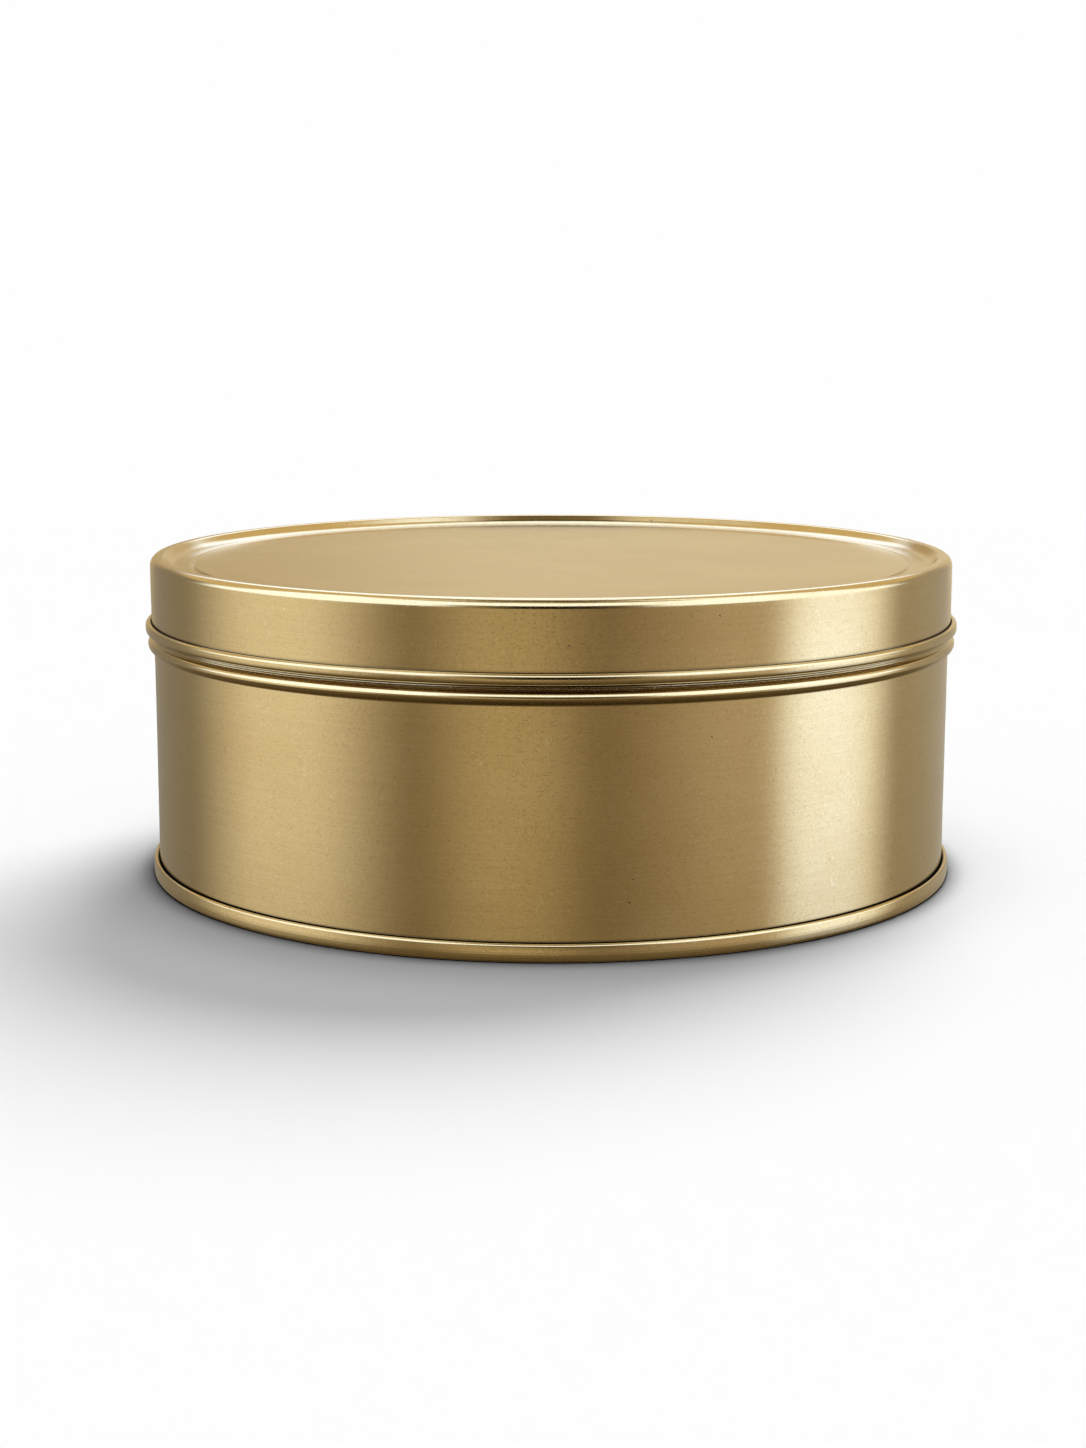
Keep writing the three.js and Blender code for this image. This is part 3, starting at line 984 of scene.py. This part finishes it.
# Tall soft boxes: azimuth, half width of the full light, width of its soft edge, colour
SOFT_BOXES = [
    (-150, 30, 25, (0.33, 0.30, 0.24, 1)),
    (-81, 7, 38, (1.13, 1.11, 1.00, 1)),
    (-12, 3, 25, (0.68, 0.60, 0.41, 1)),
    (150, 30, 35, (0.50, 0.46, 0.37, 1)),
    (60, 4, 46, (0.66, 0.58, 0.45, 1)),
    (87, 11, 18, (1.35, 1.42, 1.50, 1)),
    (84, 5, 16, (1.68, 1.95, 2.55, 1)),
]
# Light above the horizon: least and greatest angle from the front, soft edge, lowest and
# highest elevation, soft edge, colour
SKY_LIGHTS = [
    (36, 106, 14, 9, 26, 6, WHITE_LIGHT),
    (0, 7, 24, -1, 22, 4, DARK_GAP),
    (0, 100, 12, 29, 57, 5, WHITE_LIGHT),
    (112, 150, 12, 26, 66, 7, GOLD_LIGHT),
    (160, 180, 10, 26, 70, 7, WHITE_LIGHT),
    (0, 180, 1, 81, 95, 5, DARK_CEILING),
]
GROUND = (0.16, 0.125, 0.07, 1)
GROUND_LEVELS = (-28.0, -9.0)
UNDER = (0.06, 0.045, 0.022, 1)
UNDER_LEVELS = (-85.0, -40.0)
BACK_WALL = (0.79, 0.66, 0.42, 1)
BACK_WALL_LEFT = (0.60, 0.47, 0.26, 1)  # the wall behind falls off to the left
BACK_FADE = (-0.16, 0.0)  # sideways part of the direction over which it does
BACK_AZIMUTHS = (148.0, 164.0)
BACK_LEVELS = (-4, 26, 6)


def surroundings():
    """The studio that the metal reflects: soft boxes at the sides and front, rings of light above."""
    world = bpy.data.worlds.new("studio")
    bpy.context.scene.world = world
    world.use_nodes = True
    sky = Nodes(world.node_tree)
    x, y, z = sky.node("SeparateXYZ", {0: sky.node("TexCoord").outputs["Generated"]}).outputs
    azimuth = sky.math("DEGREES", sky.math("ARCTAN2", x, sky.math("MULTIPLY", y, -1.0)))
    elevation = sky.math("DEGREES", sky.math("ARCSINE", z))
    light = ROOM
    for middle, half, soft, colour in SOFT_BOXES:
        light = sky.mix(sky.band(azimuth, middle - half, middle + half, soft), light, colour)
    light = sky.mix(sky.ramp(elevation, *GROUND_LEVELS, 1.0, 0.0), light, GROUND)
    light = sky.mix(sky.ramp(elevation, *UNDER_LEVELS, 1.0, 0.0), light, UNDER)
    around = sky.math("ABSOLUTE", azimuth)
    behind = sky.math("MULTIPLY", sky.ramp(around, *BACK_AZIMUTHS), sky.band(elevation, *BACK_LEVELS))
    back_wall = sky.mix(sky.ramp(x, *BACK_FADE), BACK_WALL_LEFT, BACK_WALL)
    light = sky.mix(behind, light, back_wall)
    for near, far, side, low, high, soft, colour in SKY_LIGHTS:
        across = sky.band(around, near, far, side)
        upright = sky.band(elevation, low, high, soft)
        light = sky.mix(sky.math("MULTIPLY", across, upright), light, colour)
    sky.feed(world.node_tree.nodes["Background"].inputs["Color"], light)
    world.cycles_visibility.diffuse = False
    world.cycles_visibility.camera = False


def light_tin():
    """Surroundings for the metal, suns for what is matt."""
    surroundings()
    for settings in SUNS:
        sun(*settings)


def photographed_view():
    """The camera, where the photographer's was."""
    camera = bpy.data.objects.new("camera", bpy.data.cameras.new("camera"))
    bpy.context.scene.collection.objects.link(camera)
    camera.location = (CAMERA_SIDE, -CAMERA_DISTANCE, CAMERA_HEIGHT)
    camera.rotation_euler = (math.pi / 2 - CAMERA_PITCH, 0, 0)
    camera.data.lens = CAMERA_LENS
    camera.data.clip_start = CAMERA_NEAR
    bpy.context.scene.camera = camera


def colours():
    """Plain colours, and no stray sparkles from the metal."""
    scene = bpy.context.scene
    scene.view_settings.view_transform = "Standard"
    scene.view_settings.look = "None"
    scene.cycles.use_denoising = True
    scene.cycles.caustics_reflective = False
    scene.cycles.caustics_refractive = False


photographed_view()
build_tin()
build_candle()
backdrop()
floor()
light_tin()
colours()
